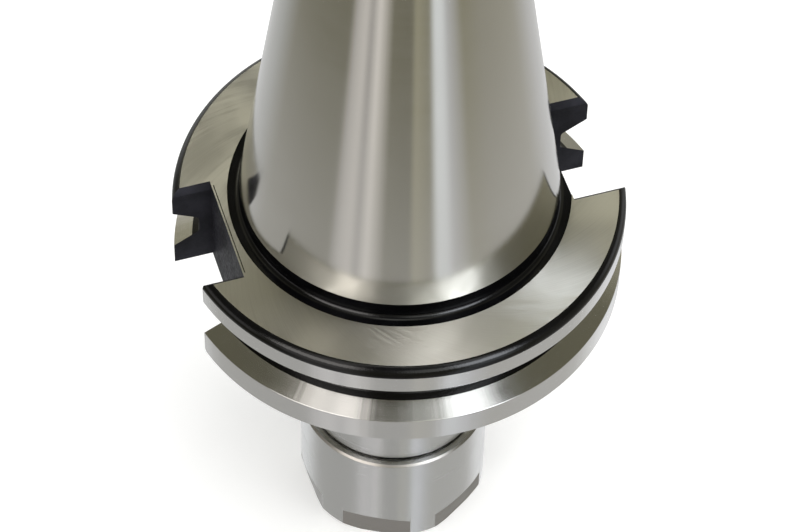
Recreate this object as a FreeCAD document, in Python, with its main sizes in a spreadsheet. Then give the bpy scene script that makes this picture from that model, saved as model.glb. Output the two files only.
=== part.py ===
# Spring-collet chuck for milling spindles: a size 40 steep-taper holder with a V-flange,
# a slotted double-taper collet, the nut that draws the collet into its seat, and a stop
# screw behind the tool. Millimetres. Origin on the axis at the taper's gauge line,
# +Z towards the small end of the taper, drive slots on the +X and -X sides.
import FreeCAD, Part
import os
import re
import Sketcher

doc = FreeCAD.newDocument("ColletChuck")
sheet = doc.addObject("Spreadsheet::Sheet", "Sizes")

# Driving dimensions: name, value, what it measures
drivingSizes = [
    ("gaugeDiameter", 44.45, "taper diameter at the gauge line"),
    ("taperRise", 7, "change of diameter over taperRun"),
    ("taperRun", 24, "length over which the taper changes by taperRise"),
    ("shankLength", 68.4, "gauge line to the small end"),
    ("shankEndChamfer", 1, "chamfer round the small end"),
    ("groundRunOut", 0.65, "how far the ground taper runs below the gauge line"),
    ("reliefDiameter", 44.4, "neck between the ground taper and the flange"),
    ("gaugeToFace", 3.2, "gauge line to the flange's face"),
    ("recessDiameter", 48.1, "turned recess round the foot of the taper"),
    ("recessDepth", 0.3, "depth of that recess"),
    ("recessRadius", 0.8, "corner radius between relief neck and recess"),
    ("flangeDiameter", 63.55, "flange outside"),
    ("flangeThickness", 15.9, "flange face to flange back"),
    ("faceChamferWidth", 1.1, "chamfer of the flange face, across"),
    ("faceChamferHeight", 1.5, "chamfer of the flange face, along the axis"),
    ("backChamfer", 0.4, "chamfer of the flange's back edge"),
    ("gaugeToGroove", 11.1, "gauge line to the middle of the gripper groove"),
    ("grooveDepth", 3.65, "flange outside to the floor of the gripper groove"),
    ("grooveFloorWidth", 2.86, "flat width of that floor"),
    ("grooveAngle", 60, "angle between the groove's flanks"),
    ("grooveRadius", 0.6, "corner radius of the groove floor"),
    ("driveSlotWidth", 16.1, "width of both drive slots"),
    ("driveSlotChamfer", 0.8, "chamfer of the drive slots' long edges"),
    ("deepSlotFloor", 22.8, "axis to the floor of the deeper slot"),
    ("shallowSlotFloor", 25, "axis to the floor of the shallower slot"),
    ("neckDiameter", 26, "neck between flange and nut"),
    ("neckRadius", 1.5, "corner radius under the flange"),
    ("neckChamfer", 0.3, "chamfer at the neck's lower end"),
    ("projection", 70, "gauge line to the nut's front face"),
    ("noseGap", 0.6, "gap between the neck's end and the nut"),
    ("noseDiameter", 24, "outside of the nose thread"),
    ("noseReliefDiameter", 22.4, "run-out groove behind the nose thread"),
    ("noseReliefWidth", 1.6, "width of that groove"),
    ("noseChamfer", 0.7, "chamfer at the start of the nose thread"),
    ("seatRunOut", 1.5, "collet seat beyond the collet's back end"),
    ("seatClearance", 0.04, "gap on the radius between collet and seat"),
    ("toolBoreDiameter", 13, "clearance bore for long tool shanks"),
    ("toolBoreLength", 10, "length of that bore"),
    ("stopThreadDiameter", 12, "threaded bore for the stop screw"),
    ("stopThreadLength", 36, "length of that bore"),
    ("coolantBoreDiameter", 8, "bore between stop thread and pull-stud thread"),
    ("studThreadDiameter", 16, "pull-stud thread"),
    ("studThreadDepth", 32, "small end to the bottom of the pull-stud thread"),
    ("studPilotDiameter", 17, "pilot bore above the pull-stud thread"),
    ("studPilotDepth", 7, "depth of the pilot bore"),
    ("studEntryChamfer", 1, "chamfer at the mouth of the pilot bore"),
    ("drillHalfAngle", 59, "half angle of the drilled bottom"),
    ("colletLength", 31.5, "collet overall"),
    ("colletDiameter", 21, "large end of the collet's long taper"),
    ("colletHalfAngle", 8, "half angle of the collet's long taper"),
    ("colletRecess", 0.4, "nut face to collet face"),
    ("colletFaceDiameter", 15.8, "collet front face"),
    ("frontHalfAngle", 30, "half angle of the collet's short front taper"),
    ("collarDiameter", 19.5, "collar between front taper and pull-out groove"),
    ("collarWidth", 0.6, "width of that collar"),
    ("pullGrooveDiameter", 17.5, "pull-out groove of the collet"),
    ("pullGrooveWidth", 2.7, "width of the pull-out groove"),
    ("colletBackChamfer", 0.5, "chamfer at the collet's back end"),
    ("clampDiameter", 10, "clamping bore of the collet"),
    ("clampChamfer", 0.5, "chamfer at both ends of the clamping bore"),
    ("slitCount", 8, "slits from each end of the collet"),
    ("slitWidth", 0.8, "width of a slit"),
    ("slitBackWall", 4.5, "uncut length behind the front slits"),
    ("slitFrontWall", 9.5, "uncut length before the back slits"),
    ("seatStandOut", 0.8, "nose face to the collet's pull-out groove"),
    ("nutDiameter", 28, "nut outside"),
    ("nutLength", 19, "nut overall"),
    ("nutBackChamfer", 0.5, "chamfer at the nut's back edge"),
    ("nutFrontChamfer", 0.8, "chamfer at the nut's front edge"),
    ("nutThreadClearance", 0.05, "gap on the radius between nut and nose"),
    ("nutThreadChamfer", 0.8, "chamfer at the start of the nut's thread"),
    ("nutReliefDiameter", 24.8, "run-out groove at the bottom of the nut's thread"),
    ("nutReliefWidth", 1.6, "width of that groove"),
    ("nutFloorGap", 0.7, "nose face to the nut's inner shoulder"),
    ("nutMouthDiameter", 16.6, "opening in the nut's front"),
    ("frontSeatClearance", 0.04, "gap square to the front taper"),
    ("collarClearance", 0.2, "gap round the collet's collar"),
    ("pullRingDiameter", 20.2, "bore of the nut's eccentric pull-out ring"),
    ("pullRingOffset", 0.8, "eccentricity of that ring"),
    ("pullRingThickness", 1.5, "thickness of that ring"),
    ("ringChamberDiameter", 22.4, "room behind the pull-out ring"),
    ("flatCount", 6, "wrench flats round the nut's front"),
    ("flatAcross", 26, "size across the wrench flats"),
    ("flatLength", 4.2, "length of the wrench flats"),
    ("nutTurn", 2, "angle from +X to the middle of the first flat"),
    ("stopScrewLength", 18, "stop screw overall"),
    ("stopScrewClearance", 0.05, "gap on the radius between stop screw and bore"),
    ("stopScrewChamfer", 1, "chamfer at both ends of the stop screw"),
    ("stopScrewRest", 4, "stop screw face above the start of its thread"),
    ("stopKeyAcross", 6, "hexagon socket across flats"),
    ("stopKeyDepth", 8, "depth of the hexagon socket"),
    ("stopHoleDiameter", 4, "coolant hole through the stop screw"),
    ("cutMargin", 2, "how far a cutting profile reaches past the stock"),
]

for row, (alias, value, note) in enumerate(drivingSizes, start=1):
    sheet.set("A%d" % row, note)
    sheet.set("B%d" % row, str(value))
    sheet.setAlias("B%d" % row, alias)
doc.recompute()

# Sizes and levels worked out from the driving ones; levels count from the gauge line
derivedSizes = {
    "taperSlope": "taperRise / taperRun / 2",
    "flangeFace": "-gaugeToFace",
    "flangeBack": "flangeFace - flangeThickness",
    "grooveFloorRadius": "flangeDiameter / 2 - grooveDepth",
    "grooveMouth": "grooveFloorWidth / 2 + (grooveDepth + cutMargin) * tan(grooveAngle / 2)",
    "neckEnd": "nutLength + noseGap - projection",
    "frontTaperLength": "(collarDiameter - colletFaceDiameter) / 2 / tan(frontHalfAngle)",
    "collarEnd": "frontTaperLength + collarWidth",
    "longTaperStart": "collarEnd + pullGrooveWidth",
    "noseFaceInNut": "colletRecess + longTaperStart + seatStandOut",
    "noseFace": "noseFaceInNut - projection",
    "seatSlope": "tan(colletHalfAngle)",
    "seatMouthRadius": "colletDiameter / 2 - seatStandOut * seatSlope + seatClearance",
    "seatEnd": "colletRecess + colletLength + seatRunOut - projection",
    "seatEndRadius": "seatMouthRadius - (seatEnd - noseFace) * seatSlope",
    "toolBoreEnd": "seatEnd + toolBoreLength",
    "stopThreadEnd": "toolBoreEnd + stopThreadLength",
    "studThreadBottom": "shankLength - studThreadDepth",
    "studDrillPoint": "(studThreadDiameter - coolantBoreDiameter) / 2 / tan(drillHalfAngle)",
    "frontSeatShift": "frontSeatClearance / sin(frontHalfAngle)",
    "mouthLevel": "colletRecess - frontSeatShift"
                  " + (nutMouthDiameter - colletFaceDiameter) / 2 / tan(frontHalfAngle)",
    "chamberRadius": "collarDiameter / 2 + collarClearance",
    "chamberLevel": "mouthLevel + (chamberRadius - nutMouthDiameter / 2) / tan(frontHalfAngle)",
    "pullRingLevel": "colletRecess + collarEnd + collarClearance",
    "pullRingEnd": "pullRingLevel + pullRingThickness",
    "nutFloor": "noseFaceInNut - nutFloorGap",
    "nutThreadStart": "nutFloor + nutReliefWidth",
    "nutThreadRadius": "noseDiameter / 2 + nutThreadClearance",
    "stopScrewRadius": "stopThreadDiameter / 2 - stopScrewClearance",
}
aliases = {alias for alias, value, note in drivingSizes}


# Writes a size in words as an expression on the sheet's cells
def tie(words):
    def swap(match):
        word = match.group()
        if word in aliases:
            return "Sizes." + word
        if word in derivedSizes:
            return "(" + tie(derivedSizes[word]) + ")"
        return word
    return re.sub(r"[A-Za-z]\w*", swap, words)


def measure(words):
    return float(sheet.evalExpression(tie(words)))


def originPart(body, role):
    return [item for item in body.Origin.OriginFeatures if item.Role == role][0]


def addBody(label, level="0", angle="0"):
    body = doc.addObject("PartDesign::Body", label)
    body.Label = label
    body.setExpression("Placement.Base.z", tie(level))
    body.Placement.Rotation = FreeCAD.Rotation(FreeCAD.Vector(0, 0, 1), measure(angle))
    body.setExpression("Placement.Rotation.Angle", tie(angle))
    return body


def addSketch(body, name, role, shift="0", angle="0"):
    sketch = body.newObject("Sketcher::SketchObject", name)
    sketch.AttachmentSupport = (originPart(body, role), [""])
    sketch.MapMode = "FlatFace"
    if shift != "0":
        sketch.setExpression("AttachmentOffset.Base.z", tie(shift))
    if angle != "0":
        # A turn about the sketch's upright axis, which is the body's Z in an XZ sketch
        sketch.AttachmentOffset = FreeCAD.Placement(
            FreeCAD.Vector(), FreeCAD.Rotation(FreeCAD.Vector(0, 1, 0), measure(angle)))
        sketch.setExpression("AttachmentOffset.Rotation.Angle", tie(angle))
    return sketch


def hold(sketch, kind, places, words):
    index = sketch.addConstraint(Sketcher.Constraint(kind, *places, measure(words)))
    sketch.setExpression("Constraints[%d]" % index, tie(words))


# A closed outline of straight lines through corners given as (across, up) in words
def drawOutline(sketch, corners):
    points = [FreeCAD.Vector(measure(across), measure(up), 0) for across, up in corners]
    count = len(points)
    first = sketch.GeometryCount
    for index in range(count):
        sketch.addGeometry(Part.LineSegment(points[index], points[(index + 1) % count]))
    for index, (across, up) in enumerate(corners):
        line = first + index
        before = first + (index - 1) % count
        sketch.addConstraint(Sketcher.Constraint("Coincident", before, 2, line, 1))
        if across == "0":
            sketch.addConstraint(Sketcher.Constraint("PointOnObject", line, 1, -2))
        else:
            hold(sketch, "DistanceX", (-1, 1, line, 1), across)
        if up == "0":
            sketch.addConstraint(Sketcher.Constraint("PointOnObject", line, 1, -1))
        else:
            hold(sketch, "DistanceY", (-1, 1, line, 1), up)


def drawCircle(sketch, across, radius):
    centre = FreeCAD.Vector(measure(across), 0, 0)
    circle = Part.Circle(centre, FreeCAD.Vector(0, 0, 1), measure(radius))
    index = sketch.addGeometry(circle)
    if across == "0":
        sketch.addConstraint(Sketcher.Constraint("Coincident", index, 3, -1, 1))
    else:
        hold(sketch, "DistanceX", (-1, 1, index, 3), across)
        sketch.addConstraint(Sketcher.Constraint("PointOnObject", index, 3, -1))
    hold(sketch, "Radius", (index,), radius)


# A feature that removes material has to leave less than there was
def checkCut(body, feature, before):
    doc.recompute()
    if not feature.Shape.Volume < before:
        raise RuntimeError(feature.Name + " removed nothing from " + body.Label)


def revolve(body, name, corners, cut=False):
    sketch = addSketch(body, name + "Profile", "XZ_Plane")
    drawOutline(sketch, corners)
    before = body.Shape.Volume if cut else 0
    feature = body.newObject("PartDesign::Groove" if cut else "PartDesign::Revolution", name)
    feature.Profile = sketch
    feature.ReferenceAxis = (sketch, ["V_Axis"])
    feature.Angle = 360
    doc.recompute()
    if cut:
        checkCut(body, feature, before)
    return feature


def pocket(body, name, sketch, length, alongNormal=False, bothWays=False):
    before = body.Shape.Volume
    feature = body.newObject("PartDesign::Pocket", name)
    feature.Profile = sketch
    feature.setExpression("Length", tie(length))
    feature.Reversed = alongNormal
    feature.Midplane = bothWays
    checkCut(body, feature, before)
    return feature


def repeatAround(body, name, feature, sketch, count, axis):
    before = body.Shape.Volume
    pattern = body.newObject("PartDesign::PolarPattern", name)
    pattern.Originals = [feature]
    pattern.Axis = (sketch, [axis])
    pattern.Angle = 360
    pattern.setExpression("Occurrences", tie(count))
    body.Tip = pattern
    checkCut(body, pattern, before)


# Names of the round edges of a body that lie at one radius and level
def roundEdges(body, radius, level):
    near = 1e-4
    found = []
    for number, edge in enumerate(body.Shape.Edges, start=1):
        if not isinstance(edge.Curve, Part.Circle):
            continue
        centre = body.Placement.inverse().multVec(edge.Curve.Center)
        sameRadius = abs(edge.Curve.Radius - measure(radius)) < near
        if sameRadius and abs(centre.z - measure(level)) < near:
            found.append("Edge%d" % number)
    return found


def fillet(body, name, radius, places):
    base = body.Tip
    names = [edge for where in places for edge in roundEdges(body, *where)]
    if len(names) < len(places):
        raise RuntimeError(name + " found no edge to round")
    feature = body.newObject("PartDesign::Fillet", name)
    feature.Base = (base, names)
    feature.setExpression("Radius", tie(radius))
    doc.recompute()


# Holder: taper shank, V-flange, neck and threaded nose in one piece of steel
def makeHolder():
    body = addBody("holder_body")
    revolve(body, "shankAndFlange", [
        ("0", "shankLength"),
        ("gaugeDiameter / 2 - shankLength * taperSlope - shankEndChamfer", "shankLength"),
        ("gaugeDiameter / 2 - (shankLength - shankEndChamfer) * taperSlope",
         "shankLength - shankEndChamfer"),
        ("gaugeDiameter / 2 + groundRunOut * taperSlope", "-groundRunOut"),
        ("reliefDiameter / 2", "-groundRunOut"),
        ("reliefDiameter / 2", "flangeFace - recessDepth"),
        ("recessDiameter / 2", "flangeFace - recessDepth"),
        ("recessDiameter / 2", "flangeFace"),
        ("flangeDiameter / 2 - faceChamferWidth", "flangeFace"),
        ("flangeDiameter / 2", "flangeFace - faceChamferHeight"),
        ("flangeDiameter / 2", "flangeBack + backChamfer"),
        ("flangeDiameter / 2 - backChamfer", "flangeBack"),
        ("neckDiameter / 2", "flangeBack"),
        ("neckDiameter / 2", "neckEnd + neckChamfer"),
        ("neckDiameter / 2 - neckChamfer", "neckEnd"),
        ("noseReliefDiameter / 2", "neckEnd"),
        ("noseReliefDiameter / 2", "neckEnd - noseReliefWidth"),
        ("noseDiameter / 2", "neckEnd - noseReliefWidth"),
        ("noseDiameter / 2", "noseFace + noseChamfer"),
        ("noseDiameter / 2 - noseChamfer", "noseFace"),
        ("0", "noseFace"),
    ])
    revolve(body, "gripperGroove", [
        ("grooveFloorRadius", "-gaugeToGroove - grooveFloorWidth / 2"),
        ("flangeDiameter / 2 + cutMargin", "-gaugeToGroove - grooveMouth"),
        ("flangeDiameter / 2 + cutMargin", "-gaugeToGroove + grooveMouth"),
        ("grooveFloorRadius", "-gaugeToGroove + grooveFloorWidth / 2"),
    ], cut=True)
    fillet(body, "grooveCorners", "grooveRadius", [
        ("grooveFloorRadius", "-gaugeToGroove - grooveFloorWidth / 2"),
        ("grooveFloorRadius", "-gaugeToGroove + grooveFloorWidth / 2"),
    ])
    fillet(body, "recessCorner", "recessRadius",
           [("reliefDiameter / 2", "flangeFace - recessDepth")])
    fillet(body, "neckCorner", "neckRadius", [("neckDiameter / 2", "flangeBack")])
    revolve(body, "throughBore", [
        ("0", "noseFace - cutMargin"),
        ("seatMouthRadius + cutMargin * seatSlope", "noseFace - cutMargin"),
        ("seatEndRadius", "seatEnd"),
        ("toolBoreDiameter / 2", "seatEnd"),
        ("toolBoreDiameter / 2", "toolBoreEnd"),
        ("stopThreadDiameter / 2", "toolBoreEnd"),
        ("stopThreadDiameter / 2", "stopThreadEnd"),
        ("coolantBoreDiameter / 2", "stopThreadEnd"),
        ("coolantBoreDiameter / 2", "studThreadBottom - studDrillPoint"),
        ("studThreadDiameter / 2", "studThreadBottom"),
        ("studThreadDiameter / 2", "shankLength - studPilotDepth"),
        ("studPilotDiameter / 2", "shankLength - studPilotDepth"),
        ("studPilotDiameter / 2", "shankLength - studEntryChamfer"),
        ("studPilotDiameter / 2 + studEntryChamfer", "shankLength"),
        ("studPilotDiameter / 2 + studEntryChamfer", "shankLength + cutMargin"),
        ("0", "shankLength + cutMargin"),
    ], cut=True)
    cutDriveSlot(body, "deepSlot", "deepSlotFloor", towardsPlusX=True)
    cutDriveSlot(body, "shallowSlot", "shallowSlotFloor", towardsPlusX=False)
    return body


# A drive slot is a straight channel through the flange, flared at its long edges
def cutDriveSlot(body, name, floor, towardsPlusX):
    side = "" if towardsPlusX else "-"
    sketch = addSketch(body, name + "Section", "YZ_Plane", shift=side + floor)
    straight = "driveSlotWidth / 2"
    flared = "driveSlotWidth / 2 + driveSlotChamfer + cutMargin"
    top = "flangeFace + cutMargin"
    bottom = "flangeBack - cutMargin"
    drawOutline(sketch, [
        (straight, "flangeBack + driveSlotChamfer"),
        (straight, "flangeFace - driveSlotChamfer"),
        (flared, top),
        ("-(" + flared + ")", top),
        ("-(" + straight + ")", "flangeFace - driveSlotChamfer"),
        ("-(" + straight + ")", "flangeBack + driveSlotChamfer"),
        ("-(" + flared + ")", bottom),
        (flared, bottom),
    ])
    # A pocket runs against its sketch's normal, which is +X here
    pocket(body, name, sketch, "flangeDiameter / 2 - " + floor + " + cutMargin",
           alongNormal=towardsPlusX)


# Collet: long taper to the holder, short taper to the nut, pull-out groove between them
def makeCollet():
    body = addBody("spring_collet", "colletRecess - projection")
    backRadius = "(colletDiameter / 2 - (colletLength - longTaperStart) * seatSlope)"
    revolve(body, "tapers", [
        ("clampDiameter / 2 + clampChamfer", "0"),
        ("colletFaceDiameter / 2", "0"),
        ("collarDiameter / 2", "frontTaperLength"),
        ("collarDiameter / 2", "collarEnd"),
        ("pullGrooveDiameter / 2", "collarEnd"),
        ("pullGrooveDiameter / 2", "longTaperStart"),
        ("colletDiameter / 2", "longTaperStart"),
        (backRadius + " + colletBackChamfer * seatSlope", "colletLength - colletBackChamfer"),
        (backRadius + " - colletBackChamfer", "colletLength"),
        ("clampDiameter / 2 + clampChamfer", "colletLength"),
        ("clampDiameter / 2", "colletLength - clampChamfer"),
        ("clampDiameter / 2", "clampChamfer"),
    ])
    inside = "clampDiameter / 2 - cutMargin"
    outside = "colletDiameter / 2 + cutMargin"
    cutSlits(body, "frontSlits", "0", [
        (inside, "-cutMargin"),
        (outside, "-cutMargin"),
        (outside, "colletLength - slitBackWall"),
        (inside, "colletLength - slitBackWall"),
    ])
    cutSlits(body, "backSlits", "180 / slitCount", [
        (inside, "slitFrontWall"),
        (outside, "slitFrontWall"),
        (outside, "colletLength + cutMargin"),
        (inside, "colletLength + cutMargin"),
    ])
    return body


def cutSlits(body, name, angle, corners):
    sketch = addSketch(body, name + "Section", "XZ_Plane", angle=angle)
    drawOutline(sketch, corners)
    slit = pocket(body, name + "First", sketch, "slitWidth", bothWays=True)
    repeatAround(body, name, slit, sketch, "slitCount", "V_Axis")


# Nut: thread, eccentric pull-out ring and front taper inside, wrench flats outside
def makeNut():
    body = addBody("clamping_nut", "-projection", "nutTurn")
    revolve(body, "nutOutside", [
        ("0", "0"),
        ("nutDiameter / 2 - nutFrontChamfer", "0"),
        ("nutDiameter / 2", "nutFrontChamfer"),
        ("nutDiameter / 2", "nutLength - nutBackChamfer"),
        ("nutDiameter / 2 - nutBackChamfer", "nutLength"),
        ("0", "nutLength"),
    ])
    ringWall = "(pullRingDiameter / 2 - pullRingOffset)"
    revolve(body, "nutInside", [
        ("0", "-cutMargin"),
        ("nutMouthDiameter / 2", "-cutMargin"),
        ("nutMouthDiameter / 2", "mouthLevel"),
        ("chamberRadius", "chamberLevel"),
        ("chamberRadius", "pullRingLevel"),
        (ringWall, "pullRingLevel"),
        (ringWall, "pullRingEnd"),
        ("ringChamberDiameter / 2", "pullRingEnd"),
        ("ringChamberDiameter / 2", "nutFloor"),
        ("nutReliefDiameter / 2", "nutFloor"),
        ("nutReliefDiameter / 2", "nutThreadStart"),
        ("nutThreadRadius", "nutThreadStart"),
        ("nutThreadRadius", "nutLength - nutThreadChamfer"),
        ("nutThreadRadius + nutThreadChamfer", "nutLength"),
        ("nutThreadRadius + nutThreadChamfer", "nutLength + cutMargin"),
        ("0", "nutLength + cutMargin"),
    ], cut=True)
    ring = addSketch(body, "pullRingBore", "XY_Plane", shift="pullRingLevel")
    drawCircle(ring, "pullRingOffset", "pullRingDiameter / 2")
    pocket(body, "pullRing", ring, "pullRingThickness", alongNormal=True)
    flat = addSketch(body, "flatSection", "XY_Plane")
    halfWidth = "nutDiameter / 2"
    drawOutline(flat, [
        ("flatAcross / 2", "-(" + halfWidth + ")"),
        ("nutDiameter / 2 + cutMargin", "-(" + halfWidth + ")"),
        ("nutDiameter / 2 + cutMargin", halfWidth),
        ("flatAcross / 2", halfWidth),
    ])
    firstFlat = pocket(body, "firstFlat", flat, "flatLength", alongNormal=True)
    repeatAround(body, "wrenchFlats", firstFlat, flat, "flatCount", "N_Axis")
    return body


# Stop screw: sets how deep a tool sits, turned through the collet with a hexagon key
def makeStopScrew():
    body = addBody("stop_screw", "toolBoreEnd + stopScrewRest")
    revolve(body, "screwBlank", [
        ("stopHoleDiameter / 2", "0"),
        ("stopScrewRadius - stopScrewChamfer", "0"),
        ("stopScrewRadius", "stopScrewChamfer"),
        ("stopScrewRadius", "stopScrewLength - stopScrewChamfer"),
        ("stopScrewRadius - stopScrewChamfer", "stopScrewLength"),
        ("stopHoleDiameter / 2", "stopScrewLength"),
    ])
    key = addSketch(body, "keySection", "XY_Plane")
    corner = "stopKeyAcross / 2 / cos(30)"
    drawOutline(key, [
        (corner, "0"),
        ("(" + corner + ") / 2", "stopKeyAcross / 2"),
        ("-(" + corner + ") / 2", "stopKeyAcross / 2"),
        ("-(" + corner + ")", "0"),
        ("-(" + corner + ") / 2", "-stopKeyAcross / 2"),
        ("(" + corner + ") / 2", "-stopKeyAcross / 2"),
    ])
    pocket(body, "keySocket", key, "stopKeyDepth", alongNormal=True)
    return body


parts = [makeHolder(), makeCollet(), makeNut(), makeStopScrew()]
doc.recompute()

for item in doc.Objects:
    if "Invalid" in item.State or "Error" in item.State:
        raise RuntimeError(item.Name + " could not be computed")
for body in parts:
    if body.Shape.isNull() or not body.Shape.isValid() or len(body.Shape.Solids) != 1:
        raise RuntimeError(body.Label + " is not one valid solid")

os.makedirs("parts", exist_ok=True)
for body in parts:
    body.Shape.exportStep("parts/" + body.Label + ".step")
    box = body.Shape.BoundBox
    print("%s: %.1f mm3, z %.2f to %.2f" % (body.Label, body.Shape.Volume, box.ZMin, box.ZMax))
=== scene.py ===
import math
import bmesh
import bpy
from mathutils import Matrix, Quaternion, Vector


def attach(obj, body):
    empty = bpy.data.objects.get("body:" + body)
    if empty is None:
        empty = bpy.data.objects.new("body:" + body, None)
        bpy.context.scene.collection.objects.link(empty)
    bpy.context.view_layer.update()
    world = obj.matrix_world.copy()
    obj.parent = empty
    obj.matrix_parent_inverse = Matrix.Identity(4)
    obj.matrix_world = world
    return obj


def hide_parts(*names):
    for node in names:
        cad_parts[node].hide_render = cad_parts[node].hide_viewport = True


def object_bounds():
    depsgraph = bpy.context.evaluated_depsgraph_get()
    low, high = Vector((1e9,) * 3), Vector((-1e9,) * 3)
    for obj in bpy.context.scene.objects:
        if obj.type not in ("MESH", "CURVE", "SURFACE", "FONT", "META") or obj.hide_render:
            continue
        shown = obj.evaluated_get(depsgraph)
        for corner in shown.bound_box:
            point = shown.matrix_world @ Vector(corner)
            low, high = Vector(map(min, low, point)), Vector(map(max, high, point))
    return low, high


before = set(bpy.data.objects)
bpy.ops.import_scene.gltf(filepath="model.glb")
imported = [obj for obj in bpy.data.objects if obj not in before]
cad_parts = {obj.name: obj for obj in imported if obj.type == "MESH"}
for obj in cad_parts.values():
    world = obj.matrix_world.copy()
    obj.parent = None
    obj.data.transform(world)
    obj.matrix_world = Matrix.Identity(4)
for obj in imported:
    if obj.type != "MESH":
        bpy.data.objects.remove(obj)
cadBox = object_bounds()
print("Frame loaded:", ", ".join(sorted(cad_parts)))

mm = 0.001  # sizes below are in millimetres, Blender's are in metres
scene = bpy.context.scene
scene.view_settings.view_transform = "Standard"


# sRGB hex to the linear colour that a shader socket takes
def colour(code, strength=1.0):
    parts = [int(code[i:i + 2], 16) / 255 for i in (1, 3, 5)]
    linear = [p / 12.92 if p <= 0.04045 else ((p + 0.055) / 1.055) ** 2.4 for p in parts]
    return [p * strength for p in linear] + [1]


# Adds one node with its settings; an input is a value or another node's output
def addNode(tree, kind, settings=None, inputs=None):
    node = tree.nodes.new(kind)
    for name, value in (settings or {}).items():
        setattr(node, name, value)
    for socket, value in (inputs or {}).items():
        if isinstance(value, bpy.types.NodeSocket):
            tree.links.new(value, node.inputs[socket])
        else:
            node.inputs[socket].default_value = value
    return node


# Settings of the nodes that come up often
add, multiply, divide = ({"operation": name} for name in ("ADD", "MULTIPLY", "DIVIDE"))
softStep = {"interpolation_type": "SMOOTHSTEP"}
colourMix = {"data_type": "RGBA"}         # factor 0, colours 6 and 7, result 2

# Camera: where the photograph was taken from, in millimetres
view = {
    "lens": 162.6,                    # on a sensor 36 mm wide
    "place": (-100.83, -301.16, 386.97),
    "aim": (0.22, -0.07, -20.72),
    "roll": 1.57,                     # degrees, anticlockwise
    "azimuth": -108.55,               # degrees from +X to the camera's side
    "nearest": 10,                    # nothing closer than this is drawn
}


def makeCamera():
    camera = bpy.data.objects.new("camera", bpy.data.cameras.new("camera"))
    scene.collection.objects.link(camera)
    camera.data.lens = view["lens"]
    camera.data.clip_start = view["nearest"] * mm
    place = Vector(view["place"]) * mm
    sight = Vector(view["aim"]) * mm - place
    turn = sight.to_track_quat("-Z", "Y") @ Quaternion((0, 0, 1), math.radians(view["roll"]))
    camera.location = place
    camera.rotation_mode = "QUATERNION"
    camera.rotation_quaternion = turn
    scene.camera = camera


makeCamera()
print("Camera placed")

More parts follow.
